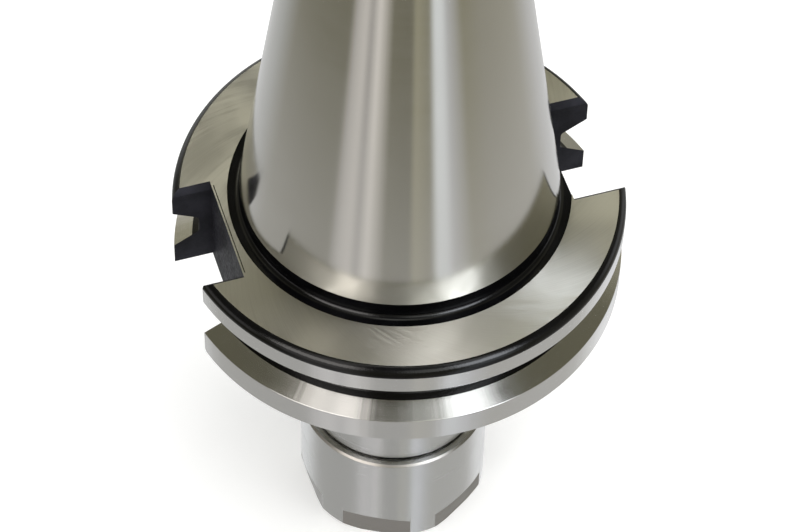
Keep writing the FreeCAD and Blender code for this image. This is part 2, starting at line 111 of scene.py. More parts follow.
# Studio: what polished steel mirrors is a grey room with light panels, given by the direction
# it is seen in. Angles are degrees to the right of the camera's side, and heights are the upward
# part of a direction of length one
studio = {
    # Upright strips of light round the walls, as (angle, strength, tint). The first set stands
    # lowest, and each later one takes over between the two heights written before it
    "walls": [
        (None, [
            (-180, 0.62, "#fffffd"), (-128, 0.44, "#fbfffa"), (-104, 0.23, "#fffad6"),
            (-47, 0.21, "#fffad6"), (-41, 0.64, "#fffbf6"), (-33, 0.84, "#fffbf6"),
            (-27.5, 0.48, "#fffbf6"), (-21, 1.00, "#fffbf6"), (-9, 0.22, "#fffad6"),
            (7, 0.20, "#fffad6"), (11, 0.43, "#fffad6"), (22, 0.29, "#fffad6"),
            (27, 1.14, "#f6fbff"), (33, 1.09, "#f6fbff"), (38, 0.70, "#fafcff"),
            (52, 0.33, "#fffad6"), (70, 0.37, "#fffbe4"), (110, 0.41, "#fffbe4"),
            (135, 0.58, "#fffffd"), (180, 0.62, "#fffffd"),
        ]),
        ((-0.22, -0.06), [
            (-180, 0.40, "#fffbe4"), (-165, 1.30, "#fffffd"), (-142, 1.30, "#fffffd"),
            (-130, 0.32, "#fffbe4"), (-96, 0.32, "#fffbe4"), (-84, 0.95, "#fffbf6"),
            (-64, 0.95, "#fffbf6"), (-54, 0.28, "#fffad6"), (-45, 1.20, "#fffbf6"),
            (-22, 1.30, "#fffbf6"), (-10, 0.30, "#fffad6"), (26, 0.36, "#fffad6"),
            (33, 1.70, "#f6fbff"), (46, 1.70, "#f6fbff"), (56, 0.34, "#fffad6"),
            (92, 0.36, "#fffbe4"), (106, 1.15, "#fffffd"), (126, 1.15, "#fffffd"),
            (138, 0.36, "#fffbe4"), (180, 0.40, "#fffbe4"),
        ]),
        ((0.22, 0.36), [
            (-180, 0.45, "#fffad8"), (-135, 0.45, "#fffad8"), (-112, 0.16, "#fffad6"),
            (-58, 0.14, "#fffad6"), (-50, 5.20, "#fffbf6"), (-20, 5.60, "#fffbf6"),
            (-12, 0.30, "#fffcea"), (1, 0.25, "#fffcea"), (8, 1.80, "#fdfff8"),
            (24, 2.50, "#fdfff8"), (31, 9.50, "#f4f9ff"), (49, 9.50, "#f4f9ff"),
            (57, 0.40, "#fcfffb"), (72, 0.16, "#fffad6"), (112, 0.18, "#fffad6"),
            (135, 0.45, "#fffad8"), (180, 0.45, "#fffad8"),
        ]),
        ((0.66, 0.74), [
            (-180, 0.50, "#fffad8"), (-135, 0.50, "#fffad8"), (-112, 0.16, "#fffad6"),
            (-59, 0.12, "#fffad6"), (-52, 1.20, "#fffbf4"), (-45, 1.40, "#fffbf6"),
            (-39, 0.95, "#fffbf6"), (-29, 1.80, "#fffbf6"), (-21, 1.10, "#fffbf6"),
            (-12, 0.12, "#fffcea"), (4, 0.12, "#fffcea"), (12, 0.42, "#fdfff8"),
            (31, 0.60, "#fdfff8"), (35, 2.20, "#fbfeff"), (54, 2.00, "#fbfeff"),
            (61, 0.18, "#fcfffb"), (72, 0.15, "#fffad6"), (112, 0.18, "#fffad6"),
            (135, 0.50, "#fffad8"), (180, 0.50, "#fffad8"),
        ]),
    ],
    "peak": 10,                       # brightness that a ramp's 1 stands for
    # Ceiling, on a plane one unit above: u runs towards the camera and v to its right. The last
    # panel is a dark one, for the black ring round the taper's foot to mirror
    "ceiling": ("#fffae0", 0.45), "ceilingEdge": (0.93, 0.975), "ceilingFrom": 0.05,
    "panels": [                       # u from, to; v from, to; soft edge; strength and tint
        (-3.2, -1.1, -1.25, -0.22, 0.12, 2.50, "#fffbe6"),
        (-0.15, 0.28, -0.1, 0.1, 0.06, 2.00, "#fffff6"),
        (-0.95, -0.68, -0.25, 0.25, 0.10, 0.08, "#fffad8"),
    ],
    # Table: white paper round the object, in full light only behind it and deep down; its edge
    # stands higher on the camera's side, by the lean, and it hides its share of the walls
    "tableEdge": (-0.68, -0.76), "tableLean": 0.15, "tableShare": 0.56,
    "table": ("#fbfcff", 0.85), "tableBehind": ("#fbfcff", 1.90),
    "behind": (-0.12, -0.46), "deep": (-0.76, -0.83),
    "room": 0.45,                     # plain light for everything that doesn't mirror
}


def makeWorld():
    world = bpy.data.worlds.new("studio")
    scene.world = world
    world.use_nodes = True
    world.cycles.sampling_method = "NONE"
    tree = world.node_tree
    tree.nodes.clear()
    toward = addNode(tree, "ShaderNodeTexCoord").outputs["Generated"]
    turned = addNode(tree, "ShaderNodeVectorRotate", {"rotation_type": "Z_AXIS"},
                     {"Vector": toward, "Angle": -math.radians(view["azimuth"])}).outputs[0]
    x, y, z = addNode(tree, "ShaderNodeSeparateXYZ", inputs={"Vector": turned}).outputs
    around = addNode(tree, "ShaderNodeTexGradient", {"gradient_type": "RADIAL"},
                     {"Vector": turned}).outputs["Fac"]

    for heights, stops in studio["walls"]:
        ramp = addNode(tree, "ShaderNodeValToRGB", inputs={"Fac": around})
        elements = ramp.color_ramp.elements
        while len(elements) < len(stops):
            elements.new(0.5)
        for element, (angle, strength, tint) in zip(elements, stops):
            element.position = angle / 360 + 0.5
            element.color = colour(tint, strength / studio["peak"])
        strips = ramp.outputs["Color"]
        if heights:
            turning = addNode(tree, "ShaderNodeMapRange", softStep, {
                "Value": z, "From Min": heights[0], "From Max": heights[1]}).outputs[0]
            strips = addNode(tree, "ShaderNodeMix", colourMix,
                             {0: turning, 6: mirrored, 7: strips}).outputs[2]
        mirrored = strips
    mirrored = addNode(tree, "ShaderNodeVectorMath", {"operation": "SCALE"},
                       {0: mirrored, "Scale": studio["peak"]}).outputs[0]

    # 1 between two values, 0 outside them, with a soft edge
    def window(value, low, high, edge):
        opening = addNode(tree, "ShaderNodeMapRange", softStep,
                          {"Value": value, "From Min": low - edge, "From Max": low + edge})
        closing = addNode(tree, "ShaderNodeMapRange", softStep,
                          {"Value": value, "From Min": high + edge, "From Max": high - edge})
        return addNode(tree, "ShaderNodeMath", multiply,
                       {0: opening.outputs[0], 1: closing.outputs[0]}).outputs[0]

    start, end = studio["ceilingEdge"]
    above = addNode(tree, "ShaderNodeMapRange", softStep,
                    {"Value": z, "From Min": start, "From Max": end}).outputs[0]
    mirrored = addNode(tree, "ShaderNodeMix", colourMix, {
        0: above, 6: mirrored, 7: colour(*studio["ceiling"])}).outputs[2]
    height = addNode(tree, "ShaderNodeMath", {"operation": "MAXIMUM"},
                     {0: z, 1: studio["ceilingFrom"]}).outputs[0]
    u = addNode(tree, "ShaderNodeMath", divide, {0: x, 1: height}).outputs[0]
    v = addNode(tree, "ShaderNodeMath", divide, {0: y, 1: height}).outputs[0]
    for uFrom, uTo, vFrom, vTo, edge, strength, tint in studio["panels"]:
        panel = addNode(tree, "ShaderNodeMath", multiply, {
            0: window(u, uFrom, uTo, edge), 1: window(v, vFrom, vTo, edge)}).outputs[0]
        mirrored = addNode(tree, "ShaderNodeMix", colourMix, {
            0: panel, 6: mirrored, 7: colour(tint, strength)}).outputs[2]

    start, end = studio["behind"]
    behind = addNode(tree, "ShaderNodeMapRange", softStep,
                     {"Value": x, "From Min": start, "From Max": end}).outputs[0]
    start, end = studio["deep"]
    behind = addNode(tree, "ShaderNodeMapRange", softStep, {
        "Value": z, "From Min": start, "From Max": end, "To Max": behind}).outputs[0]
    table = addNode(tree, "ShaderNodeMix", colourMix, {
        0: behind, 6: colour(*studio["table"]), 7: colour(*studio["tableBehind"])}).outputs[2]
    # How near a direction is to the camera's side, from 0 on the far side to 1
    halfTurn = addNode(tree, "ShaderNodeMath", multiply, {0: around, 1: math.pi}).outputs[0]
    near = addNode(tree, "ShaderNodeMath", {"operation": "SINE"}, {0: halfTurn}).outputs[0]
    depth = addNode(tree, "ShaderNodeMath", {"operation": "MULTIPLY_ADD"}, {
        0: near, 1: -studio["tableLean"], 2: z}).outputs[0]
    start, end = studio["tableEdge"]
    below = addNode(tree, "ShaderNodeMapRange", softStep, {
        "Value": depth, "From Min": start, "From Max": end,
        "To Max": studio["tableShare"]}).outputs[0]
    mirrored = addNode(tree, "ShaderNodeMix", colourMix,
                       {0: below, 6: mirrored, 7: table}).outputs[2]

    path = addNode(tree, "ShaderNodeLightPath")
    shiny = addNode(tree, "ShaderNodeMath", add, {
        0: path.outputs["Is Glossy Ray"], 1: path.outputs["Is Transmission Ray"]}).outputs[0]
    room = addNode(tree, "ShaderNodeMix", colourMix, {
        0: shiny, 6: colour("#ffffff", studio["room"]), 7: mirrored}).outputs[2]
    shown = addNode(tree, "ShaderNodeMix", colourMix, {
        0: path.outputs["Is Camera Ray"], 6: room, 7: colour("#ffffff")}).outputs[2]
    background = addNode(tree, "ShaderNodeBackground", inputs={"Color": shown})
    addNode(tree, "ShaderNodeOutputWorld", inputs={"Surface": background.outputs[0]})


# Lengths of the floor and the lamps are in metres, and powers in watts
floorLook = {"paper": "#e8e8e6", "glow": 0.36, "halfSize": 0.8, "fade": (0.15, 0.6)}


# Floor: white paper under the nut's face, which fades into the white backdrop; its glow is for
# the camera only, so that the paper comes out white and still holds the object's shadow
def makeFloor():
    mesh = bpy.data.meshes.new("floor")
    bm = bmesh.new()
    bmesh.ops.create_grid(bm, x_segments=1, y_segments=1, size=floorLook["halfSize"])
    bmesh.ops.translate(bm, vec=(0, 0, cadBox[0].z), verts=bm.verts)
    bm.to_mesh(mesh)
    bm.free()
    floor = bpy.data.objects.new("floor", mesh)
    scene.collection.objects.link(floor)
    floor.visible_glossy = False
    paper = bpy.data.materials.new("whitePaper")
    paper.use_nodes = True
    tree = paper.node_tree
    tree.nodes.clear()
    matt = addNode(tree, "ShaderNodeBsdfDiffuse", inputs={"Color": colour(floorLook["paper"])})
    path = addNode(tree, "ShaderNodeLightPath")
    glow = addNode(tree, "ShaderNodeMath", multiply, {
        0: path.outputs["Is Camera Ray"], 1: floorLook["glow"]}).outputs[0]
    lit = addNode(tree, "ShaderNodeEmission",
                  inputs={"Color": colour("#ffffff"), "Strength": glow})
    both = addNode(tree, "ShaderNodeAddShader", inputs={0: matt.outputs[0], 1: lit.outputs[0]})
    clear = addNode(tree, "ShaderNodeBsdfTransparent")
    under = addNode(tree, "ShaderNodeNewGeometry").outputs["Backfacing"]
    place = addNode(tree, "ShaderNodeTexCoord").outputs["Object"]
    away = addNode(tree, "ShaderNodeVectorMath", {"operation": "LENGTH"},
                   {0: place}).outputs["Value"]
    start, end = floorLook["fade"]
    faded = addNode(tree, "ShaderNodeMapRange", softStep,
                    {"Value": away, "From Min": start, "From Max": end}).outputs[0]
    gone = addNode(tree, "ShaderNodeMath", {"operation": "MAXIMUM"},
                   {0: under, 1: faded}).outputs[0]
    shown = addNode(tree, "ShaderNodeMixShader",
                    inputs={0: gone, 1: both.outputs[0], 2: clear.outputs[0]})
    addNode(tree, "ShaderNodeOutputMaterial", inputs={"Surface": shown.outputs[0]})
    mesh.materials.append(paper)


lamps = {
    "overhead": {"place": (0.1, -0.2, 1.1), "size": 0.9, "power": 9},
    "left": {"place": (-0.9, -0.5, 0.7), "size": 0.7, "power": 4},
    "right": {"place": (0.8, -0.6, 0.6), "size": 0.7, "power": 3},
}


def makeLamps():
    for name, lamp in lamps.items():
        light = bpy.data.lights.new(name, "AREA")
        light.size = lamp["size"]
        light.energy = lamp["power"]
        stand = bpy.data.objects.new(name, light)
        scene.collection.objects.link(stand)
        stand.location = lamp["place"]
        stand.rotation_euler = (-Vector(lamp["place"])).to_track_quat("-Z", "Y").to_euler()
        stand.visible_camera = False
        stand.visible_glossy = False


makeWorld()
makeFloor()
makeLamps()
print("Studio ready")

# Steels: how each surface was made decides how wide and which way it blurs what it mirrors.
# Lay is the angle between its marks and a round line, sway the angle by which marks stray from
# it, and streak the share by which the roughness varies from mark to mark. Marks and waves are
# in millimetres; real marks stand about 0.02 apart and are drawn as wide as they need to show
steels = {
    # Ground taper: very fine marks round the axis, mirrors the room in upright streaks
    "groundTaper": {"tint": "#c8c6c1", "roughness": 0.13, "anisotropy": 0.5, "lay": 0,
                    "markPitch": 0.12, "markLength": 9, "markDepth": 0.00006,
                    "waveWidth": 0.55, "waveDepth": 0.0011, "streak": 0.15},
    # Ground flange face: a cup wheel's marks cross it in spirals and give it fans of light
    "groundFace": {"tint": "#cbcac6", "roughness": 0.48, "anisotropy": 0.95, "lay": 33,
                   "markPitch": 0.14, "markLength": 7, "markDepth": 0.002, "sway": 5,
                   "waveWidth": 1.1, "waveDepth": 0.003, "streak": 0.35},
    # Ground rims and groove flanks of the flange: fine marks round the axis
    "groundRim": {"tint": "#c9c8c6", "roughness": 0.16, "anisotropy": 0.6, "lay": 0,
                  "markPitch": 0.15, "markLength": 9, "markDepth": 0.0002,
                  "waveWidth": 1.0, "waveDepth": 0.012, "streak": 0.2},
    # Turned steel of neck, nose and nut: fine rings that spread its highlights upright
    "turnedSteel": {"tint": "#c5c5c4", "roughness": 0.24, "anisotropy": 0.6, "lay": 0,
                    "markPitch": 0.16, "markLength": 20, "markDepth": 0.0003,
                    "waveWidth": 1.6, "waveDepth": 0.0006, "streak": 0.15},
    # Ground spring steel of the collet: pale and satin
    "groundCollet": {"tint": "#cdcbc6", "roughness": 0.22, "anisotropy": 0.5, "lay": 0,
                     "markPitch": 0.12, "markLength": 10, "markDepth": 0.0002,
                     "waveWidth": 1.2, "waveDepth": 0.0004, "streak": 0.15},
    # Milled flats of the nut and sawn slits, left dull, with the tint darkened as painted shade
    # That painted shade draws the shadowed gap between neck and nut on the nut's back chamfers,
    # and the floor's contact shadow that the flats mirror
    "milledSteelPaintedShade": {"tint": "#8f8c88", "roughness": 0.36, "anisotropy": 0.3, "lay": 0,
                    "markPitch": 0.3, "markLength": 6, "markDepth": 0.0008,
                    "waveWidth": 2.2, "waveDepth": 0.0006, "streak": 0.15},
}
roundScale = 27                       # radius in mm at which marks round the axis are true to size
smudgeSize = 9                        # mm across the handling marks that make it a little uneven
noiseRange = (0.3, 0.7)               # nearly all of a noise lies between these
bothRange = (0.75, 1.25)              # and of two noises added


def makeSteel(name, look):
    steel = bpy.data.materials.new(name)
    steel.use_nodes = True
    tree = steel.node_tree
    shader = tree.nodes["Principled BSDF"]
    place = addNode(tree, "ShaderNodeTexCoord").outputs["Object"]
    x, y, z = addNode(tree, "ShaderNodeSeparateXYZ", inputs={"Vector": place}).outputs
    outward = addNode(tree, "ShaderNodeCombineXYZ", inputs={"X": x, "Y": y}).outputs[0]
    radius = addNode(tree, "ShaderNodeVectorMath", {"operation": "LENGTH"},
                     {0: outward}).outputs["Value"]
    unit = addNode(tree, "ShaderNodeVectorMath", {"operation": "NORMALIZE"},
                   {0: outward}).outputs[0]
    roundAxis = addNode(tree, "ShaderNodeVectorMath", {"operation": "CROSS_PRODUCT"},
                        {0: (0, 0, 1), 1: unit}).outputs[0]

    if look["lay"]:
        # Spiral marks: turned back by the logarithm of the radius, each spiral is one direction
        lay = math.radians(look["lay"])
        share = addNode(tree, "ShaderNodeMath", divide, {0: radius, 1: roundScale * mm}).outputs[0]
        log = addNode(tree, "ShaderNodeMath", {"operation": "LOGARITHM"},
                      {0: share, 1: math.e}).outputs[0]
        back = addNode(tree, "ShaderNodeMath", multiply,
                       {0: log, 1: -1 / math.tan(lay)}).outputs[0]
        spoke = addNode(tree, "ShaderNodeVectorRotate", {"rotation_type": "Z_AXIS"},
                        {"Vector": unit, "Angle": back}).outputs[0]
        across = roundScale * math.sin(lay)
        marksAt = addNode(tree, "ShaderNodeVectorMath", {"operation": "SCALE"},
                          {0: spoke, "Scale": across / look["markPitch"]}).outputs[0]
        along = addNode(tree, "ShaderNodeMath", divide,
                        {0: radius, 1: look["markLength"] * mm}).outputs[0]
        wavesAt = addNode(tree, "ShaderNodeVectorMath", {"operation": "SCALE"},
                          {0: spoke, "Scale": across / look["waveWidth"]}).outputs[0]
    else:
        # Round marks: long in angle, narrow in radius and height
        flat = addNode(tree, "ShaderNodeVectorMath", {"operation": "SCALE"},
                       {0: unit, "Scale": roundScale / look["markLength"]}).outputs[0]
        acrossUp = addNode(tree, "ShaderNodeMath", divide,
                           {0: z, 1: look["markPitch"] * mm}).outputs[0]
        upright = addNode(tree, "ShaderNodeCombineXYZ", inputs={"Z": acrossUp}).outputs[0]
        marksAt = addNode(tree, "ShaderNodeVectorMath", add, {0: flat, 1: upright}).outputs[0]
        along = addNode(tree, "ShaderNodeMath", divide,
                        {0: radius, 1: look["markPitch"] * mm}).outputs[0]
        wavesAt = addNode(tree, "ShaderNodeVectorMath", {"operation": "SCALE"},
                          {0: unit, "Scale": roundScale / look["waveWidth"]}).outputs[0]
    marks = addNode(tree, "ShaderNodeTexNoise", {"noise_dimensions": "4D"},
                    {"Vector": marksAt, "W": along, "Scale": 1.0, "Detail": 2.0}).outputs["Fac"]
    # Waves: the slight facets that a grinding wheel leaves, upright on a round surface
    waves = addNode(tree, "ShaderNodeTexNoise", inputs={
        "Vector": wavesAt, "Scale": 1.0, "Detail": 3.0}).outputs["Fac"]
    markBump = addNode(tree, "ShaderNodeBump", inputs={
        "Height": marks, "Strength": 1.0, "Distance": look["markDepth"] * mm})
    waveBump = addNode(tree, "ShaderNodeBump", inputs={
        "Height": waves, "Strength": 1.0, "Distance": look["waveDepth"] * mm,
        "Normal": markBump.outputs[0]})

    grainLine = roundAxis
    if look["lay"]:
        # Each mark leans a little from the lay, so the fans of light break up into streaks
        turn, sway = math.radians(-look["lay"]), math.radians(look["sway"])
        lean = addNode(tree, "ShaderNodeMapRange", inputs={
            "Value": marks, "From Min": noiseRange[0], "From Max": noiseRange[1],
            "To Min": turn - sway, "To Max": turn + sway}).outputs[0]
        grainLine = addNode(tree, "ShaderNodeVectorRotate", {"rotation_type": "Z_AXIS"},
                            {"Vector": roundAxis, "Angle": lean}).outputs[0]
    grain = addNode(tree, "ShaderNodeVectorTransform",
                    {"vector_type": "VECTOR", "convert_from": "OBJECT", "convert_to": "WORLD"},
                    {"Vector": grainLine}).outputs[0]
    smudge = addNode(tree, "ShaderNodeTexNoise", inputs={
        "Vector": place, "Scale": 1 / (smudgeSize * mm), "Detail": 2.0}).outputs["Fac"]
    both = addNode(tree, "ShaderNodeMath", add, {0: marks, 1: smudge}).outputs[0]
    roughness = addNode(tree, "ShaderNodeMapRange", inputs={
        "Value": both, "From Min": bothRange[0], "From Max": bothRange[1],
        "To Min": look["roughness"] * (1 - look["streak"]),
        "To Max": look["roughness"] * (1 + look["streak"])}).outputs[0]
    shader.inputs["Base Color"].default_value = colour(look["tint"])
    shader.inputs["Metallic"].default_value = 1.0
    shader.inputs["Anisotropic"].default_value = look["anisotropy"]
    shader.inputs["Anisotropic Rotation"].default_value = 0.25  # a quarter turn from the marks
    tree.links.new(roughness, shader.inputs["Roughness"])
    tree.links.new(grain, shader.inputs["Tangent"])
    tree.links.new(waveBump.outputs[0], shader.inputs["Normal"])
    return steel


# Blackened steel: a thin film of magnetite left by hardening and oiling, nearly black. Turned
# edges keep a soft sheen; the milled slots are rougher and stay dull. Grain and patches of wear
# are in millimetres
blacks = {
    "blackTurned": {"film": "#050506", "worn": "#0c0c0e", "index": 1.36, "roughness": 0.12,
                    "grain": 0.25, "grainDepth": 0.012, "patch": 5},
    "blackMilled": {"film": "#1e1e22", "worn": "#303036", "index": 1.14, "roughness": 0.5,
                    "grain": 0.4, "grainDepth": 0.002, "patch": 6},
}
wornFrom, wornTo = 0.35, 0.75         # of the patches' noise, from whole film to worn
smoothShare, coarseShare = 0.8, 1.3   # of the roughness, from grain to grain


def makeBlack(name, look):
    black = bpy.data.materials.new(name)
    black.use_nodes = True
    tree = black.node_tree
    shader = tree.nodes["Principled BSDF"]
    place = addNode(tree, "ShaderNodeTexCoord").outputs["Object"]
    grain = addNode(tree, "ShaderNodeTexNoise", inputs={
        "Vector": place, "Scale": 1 / (look["grain"] * mm), "Detail": 3.0}).outputs["Fac"]
    patch = addNode(tree, "ShaderNodeTexNoise", inputs={
        "Vector": place, "Scale": 1 / (look["patch"] * mm), "Detail": 3.0}).outputs["Fac"]
    worn = addNode(tree, "ShaderNodeMapRange", softStep,
                   {"Value": patch, "From Min": wornFrom, "From Max": wornTo}).outputs[0]
    tone = addNode(tree, "ShaderNodeMix", colourMix, {
        0: worn, 6: colour(look["film"]), 7: colour(look["worn"])}).outputs[2]
    bump = addNode(tree, "ShaderNodeBump", inputs={
        "Height": grain, "Strength": 1.0, "Distance": look["grainDepth"] * mm})
    roughness = addNode(tree, "ShaderNodeMapRange", inputs={
        "Value": grain, "From Min": noiseRange[0], "From Max": noiseRange[1],
        "To Min": look["roughness"] * smoothShare,
        "To Max": look["roughness"] * coarseShare}).outputs[0]
    tree.links.new(tone, shader.inputs["Base Color"])
    tree.links.new(roughness, shader.inputs["Roughness"])
    tree.links.new(bump.outputs[0], shader.inputs["Normal"])
    shader.inputs["IOR"].default_value = look["index"]
    return black


materials = {name: makeSteel(name, look) for name, look in steels.items()}
materials.update({name: makeBlack(name, look) for name, look in blacks.items()})
print("Materials made")


# A ring of steel from its outline, a closed line of (radius, level) corners
def lathe(corners, steps=360):
    bm = bmesh.new()
    ring = [bm.verts.new((radius * mm, 0, level * mm)) for radius, level in corners]
    line = [bm.edges.new((ring[i - 1], ring[i])) for i in range(len(ring))]
    bmesh.ops.spin(bm, geom=ring + line, cent=(0, 0, 0), axis=(0, 0, 1),
                   angle=math.tau, steps=steps, use_merge=True)
    bmesh.ops.recalc_face_normals(bm, faces=bm.faces)
    return bm


# Rounds or breaks the round edges at (radius, level) by a width
def breakRings(bm, rings, segments):
    near = 0.004                      # mm by which a vertex may miss its ring
    for radius, level, width in rings:
        def onRing(vert):
            away = math.hypot(vert.co.x, vert.co.y) - radius * mm
            return abs(away) < near * mm and abs(vert.co.z - level * mm) < near * mm
        edges = [edge for edge in bm.edges if onRing(edge.verts[0]) and onRing(edge.verts[1])]
        bmesh.ops.bevel(bm, geom=edges, offset=width * mm, offset_type="OFFSET", segments=segments,
                        profile=0.5, affect="EDGES", material=-1, clamp_overlap=True)


def toObject(bm, name, finishes):
    mesh = bpy.data.meshes.new(name)
    bm.to_mesh(mesh)
    bm.free()
    for finish in finishes:
        mesh.materials.append(materials[finish])
    piece = bpy.data.objects.new(name, mesh)
    scene.collection.objects.link(piece)
    return piece


# Takes a cutter's shape out of a piece; the new faces keep the cutter's finish number
def cut(piece, cutter):
    modifier = piece.modifiers.new("cut", "BOOLEAN")
    modifier.object = cutter
    modifier.solver = "EXACT"
    bpy.context.view_layer.update()
    shaped = piece.evaluated_get(bpy.context.evaluated_depsgraph_get())
    mesh = bpy.data.meshes.new_from_object(shaped)
    piece.modifiers.clear()
    old = piece.data
    piece.data = mesh
    mesh.name = old.name
    bpy.data.meshes.remove(old)
    bpy.data.objects.remove(cutter)


# Smooth shading that keeps wide faces flat and the real edges sharp
def finishShading(piece, angle=32):
    piece.data.shade_smooth()
    piece.data.set_sharp_from_angle(angle=math.radians(angle))
    weighted = piece.modifiers.new("normals", "WEIGHTED_NORMAL")
    weighted.keep_sharp = True


# Prism: a face of corners carried along a line
def prism(name, corners, along, finishes, finish):
    bm = bmesh.new()
    face = bm.faces.new([bm.verts.new(Vector(corner) * mm) for corner in corners])
    grown = bmesh.ops.extrude_face_region(bm, geom=[face])["geom"]
    moved = [item for item in grown if isinstance(item, bmesh.types.BMVert)]
    bmesh.ops.translate(bm, vec=Vector(along) * mm, verts=moved)
    bmesh.ops.recalc_face_normals(bm, faces=bm.faces)
    for side in bm.faces:
        side.material_index = finish
    return toObject(bm, name, finishes)


weldReach = 0.001                     # mm within which the ends of a ridge's runs are joined
ridgeAtEnds = 0.02                    # share of a ridge's height that is left at its ends


# A thread's ridge: its section runs half a turn, and the copies of that run on from it
def threadRidge(name, thread, finishes, stepsPerTurn=96):
    root, crest, pitch = thread["root"], thread["crest"], thread["pitch"]
    base, tip = thread["baseWidth"] / 2, thread["tipWidth"] / 2
    start = thread["from"]
    end = start + thread["halfTurns"] * pitch / 2
    phase = math.tau * (start - thread["phaseLevel"]) / pitch
    bm = bmesh.new()
    section = [(root, -base), (crest, -tip), (crest, tip), (root, base)]
    ring = [bm.verts.new((r * mm, 0, (start + z) * mm)) for r, z in section]
    line = [bm.edges.new((ring[i - 1], ring[i])) for i in range(len(ring))]
    bmesh.ops.rotate(bm, verts=ring, cent=(0, 0, 0),
                     matrix=Quaternion((0, 0, 1), phase).to_matrix())
    steps = stepsPerTurn // 2
    bmesh.ops.spin(bm, geom=ring + line, cent=(0, 0, 0), axis=(0, 0, 1), angle=math.pi,
                   steps=steps, dvec=(0, 0, pitch / 2 / steps * mm))
    run = list(bm.verts) + list(bm.edges) + list(bm.faces)
    for number in range(1, thread["halfTurns"]):
        copied = bmesh.ops.duplicate(bm, geom=run)["geom"]
        moved = [item for item in copied if isinstance(item, bmesh.types.BMVert)]
        onward = Matrix.Rotation(math.pi * number, 4, "Z")
        onward.translation.z = number * pitch / 2 * mm
        bmesh.ops.transform(bm, matrix=onward, verts=moved)
    bmesh.ops.remove_doubles(bm, verts=bm.verts, dist=weldReach * mm)
    bmesh.ops.holes_fill(bm, edges=[edge for edge in bm.edges if edge.is_boundary])
    # The ridge grows out of the root over its first and last part of a turn
    fade = thread["fade"] * pitch
    for vert in bm.verts:
        radius = math.hypot(vert.co.x, vert.co.y) / mm
        level = vert.co.z / mm
        share = min(1, (level - start + base) / fade, (end + base - level) / fade)
        wanted = root + (radius - root) * max(share, ridgeAtEnds)
        vert.co.xy *= wanted / radius
    bmesh.ops.recalc_face_normals(bm, faces=bm.faces)
    return toObject(bm, name, finishes)


# Holder: shank, flange, neck and nose of one piece, in millimetres from the gauge line
holder = {
    "slope": 7 / 48,                  # radius per length of the 7/24 taper
    "gaugeRadius": 22.225,
    "smallEnd": 68.4, "endChamfer": 1,
    "footLevel": -0.65, "reliefRadius": 22.2,
    "recessRadius": 24.05, "recessLevel": -3.5, "recessCorner": 0.8,
    "faceLevel": -3.2, "faceRadius": 30.675, "faceEdgeEnd": -4.7,
    "flangeRadius": 31.775,
    "grooveRadius": 28.125, "grooveLevel": -11.1, "grooveHalfFloor": 1.43, "grooveCorner": 0.35,
    "grooveFlank": 30,                # degrees between its flanks and the flange's face
    "blackUpTo": 29.2,                # radius to which the groove's flanks stay black
    "lipBreak": 0.05,
    "backLevel": -19.1, "backChamfer": 0.4,
    "neckRadius": 13, "neckCorner": 1.5, "neckEnd": -50.4, "neckChamfer": 0.3,
    "reliefGrooveRadius": 11.2, "threadStart": -52,
    "coreRadius": 11.38, "noseFace": -62.296, "noseChamfer": 0.1,
    "seatMouth": 10.428, "seatEnd": -36.6, "seatEndRadius": 6.816,
    "toolBore": 6.5, "toolBoreEnd": -26.6, "stopBore": 6, "stopBoreEnd": 9.4,
    "coolantBore": 4, "studDrillStart": 33.997, "studBottom": 36.4,
    "studBore": 8, "pilotStart": 61.4, "pilotBore": 8.5, "pilotChamfer": 1,
    "slotHalfWidth": 8.05, "slotChamfer": 0.8, "deepFloor": 22.8, "shallowFloor": 25,
    "lineInside": 0.3, "lineWidth": 0.13, "lineDepth": 0.15,
    "beyond": 2,                      # how far a cutter reaches past the steel
}


def taperRadius(level):
    return holder["gaugeRadius"] - level * holder["slope"]


# Points of an arc from one angle to another, in degrees up from level
def arc(centreRadius, centreLevel, radius, first, last, steps=10):
    angles = [math.radians(first + (last - first) * i / steps) for i in range(steps + 1)]
    return [(centreRadius + radius * math.cos(a), centreLevel + radius * math.sin(a))
            for a in angles]


